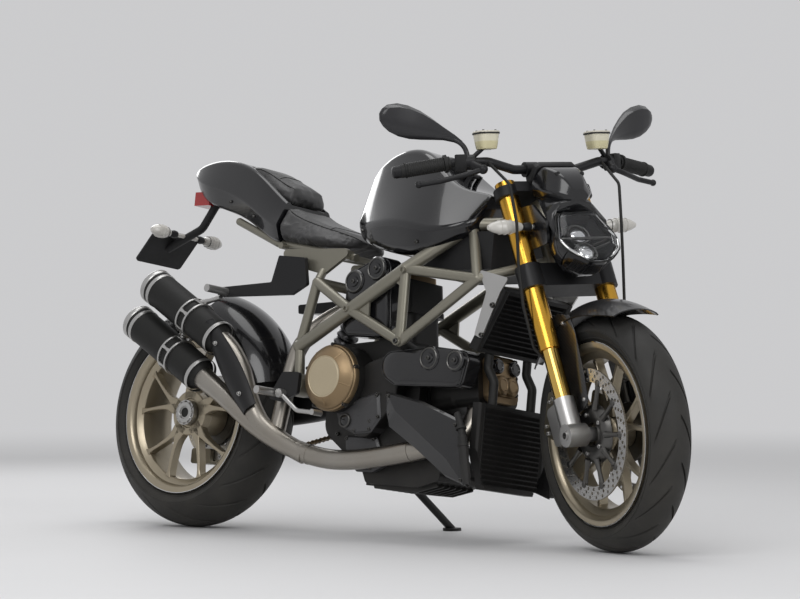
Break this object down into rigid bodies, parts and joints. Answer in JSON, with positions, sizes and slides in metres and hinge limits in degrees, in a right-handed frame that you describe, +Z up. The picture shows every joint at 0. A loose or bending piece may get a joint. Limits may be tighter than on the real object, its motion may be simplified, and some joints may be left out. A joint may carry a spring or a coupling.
{
  "type": "motorcycle",
  "caption": "Naked sport motorcycle with a tube trellis frame, L-twin engine, single-sided rear arm and stacked side mufflers, leaning on its side stand.",
  "frame": {"origin": "on the ground under the centre of the bounding box", "axes": "+X forward, +Y to the rider's left, +Z up; the machine leans to +Y on its side stand"},
  "size_m": [2.0768, 0.7628, 1.1681],
  "materials": {
    "frame_paint": "satin",
    "engine_cast": "satin",
    "bronze": "satin",
    "black_gloss": "gloss",
    "black_paint": "gloss",
    "black_matte": "matte",
    "seat_cover": "satin",
    "red_lens": "gloss",
    "clear_lens": "gloss",
    "black_satin": "satin",
    "caliper": "satin",
    "chain_steel": "oiled",
    "spring_steel": "satin",
    "bare_steel": "satin",
    "muffler_black": "matte",
    "silver": "satin",
    "radiator": "matte",
    "hose": "matte",
    "tyre": "matte",
    "wheel_gold": "satin",
    "disc": "brushed",
    "fork_gold": "satin",
    "stanchion": "polished",
    "carbon": "gloss",
    "reservoir": "gloss",
    "mirror_shell": "gloss",
    "lamp_glass": "clear"
  },
  "bodies": {
    "chassis": {"frame": "frame_paint", "subframe": "frame_paint", "crankcase": "engine_cast", "cylinders": "engine_cast", "head_covers": "bronze", "belt_covers": "black_gloss", "clutch_cover": "bronze", "fuel_tank": "black_paint", "airbox": "black_matte", "rider_seat": "seat_cover", "pillion_pad": "seat_cover", "tail_fairing": "black_gloss", "tail_light": "red_lens", "plate_hanger": "black_matte", "rear_indicators": "clear_lens", "swingarm": "black_satin", "rear_caliper": "caliper", "chain": "chain_steel", "rear_hugger": "black_gloss", "rear_shock": "spring_steel", "exhaust_pipes": "bare_steel", "mufflers": "muffler_black", "muffler_bracket": "silver", "radiators": "radiator", "radiator_brackets": "silver", "coolant_hoses": "hose", "belly_shrouds": "black_gloss", "peg_brackets": "black_satin", "pegs_and_pedals": "silver"},
    "fuel_lid": {"fuel_cap": "black_satin"},
    "stand": {"side_stand": "black_satin"},
    "rear_wheel": {"rear_tyre": "tyre", "rear_rim": "wheel_gold", "rear_disc": "disc", "rear_axle": "silver", "rear_sprocket": "chain_steel"},
    "front_end": {"triple_clamps": "black_satin", "fork_outer_tubes": "fork_gold", "fork_stanchions": "stanchion", "fork_feet": "silver", "front_axle": "silver", "front_calipers": "caliper", "front_fender": "carbon", "handlebar": "black_satin", "grips": "hose", "hand_levers": "black_satin", "fluid_reservoirs": "reservoir", "mirrors": "mirror_shell", "headlight_shell": "black_gloss", "headlight_lens": "lamp_glass", "nose_cowl": "black_gloss", "brake_hoses": "hose", "front_indicators": "clear_lens"},
    "front_wheel": {"front_tyre": "tyre", "front_rim": "wheel_gold", "front_discs": "disc"}
  },
  "joints": [
    {"name": "steering", "type": "hinge", "parent": "chassis", "child": "front_end", "pos_m": [0.50248, -0.04189, 0.79394], "axis": [-0.4075, 0.1271, 0.9043], "range_deg": [-2.5, 49.5]},
    {"name": "front_wheel_spin", "type": "hinge", "parent": "front_end", "child": "front_wheel", "pos_m": [0.75478, -0.12294, 0.29977], "axis": [0.3641, 0.9307, 0.0333], "continuous": true},
    {"name": "rear_wheel_spin", "type": "hinge", "parent": "chassis", "child": "rear_wheel", "pos_m": [-0.71805, -0.10874, 0.31826], "axis": [0, 0.9903, -0.1392], "continuous": true},
    {"name": "side_stand_swing", "type": "hinge", "parent": "chassis", "child": "stand", "pos_m": [-0.09847, 0.00526, 0.1953], "axis": [-0.0006, 0.7105, 0.7037], "range_deg": [0, 95]},
    {"name": "fuel_cap_hinge", "type": "hinge", "parent": "chassis", "child": "fuel_lid", "pos_m": [0.22151, -0.01692, 0.97161], "axis": [0, 0.9903, -0.1392], "range_deg": [0, 100]}
  ]
}
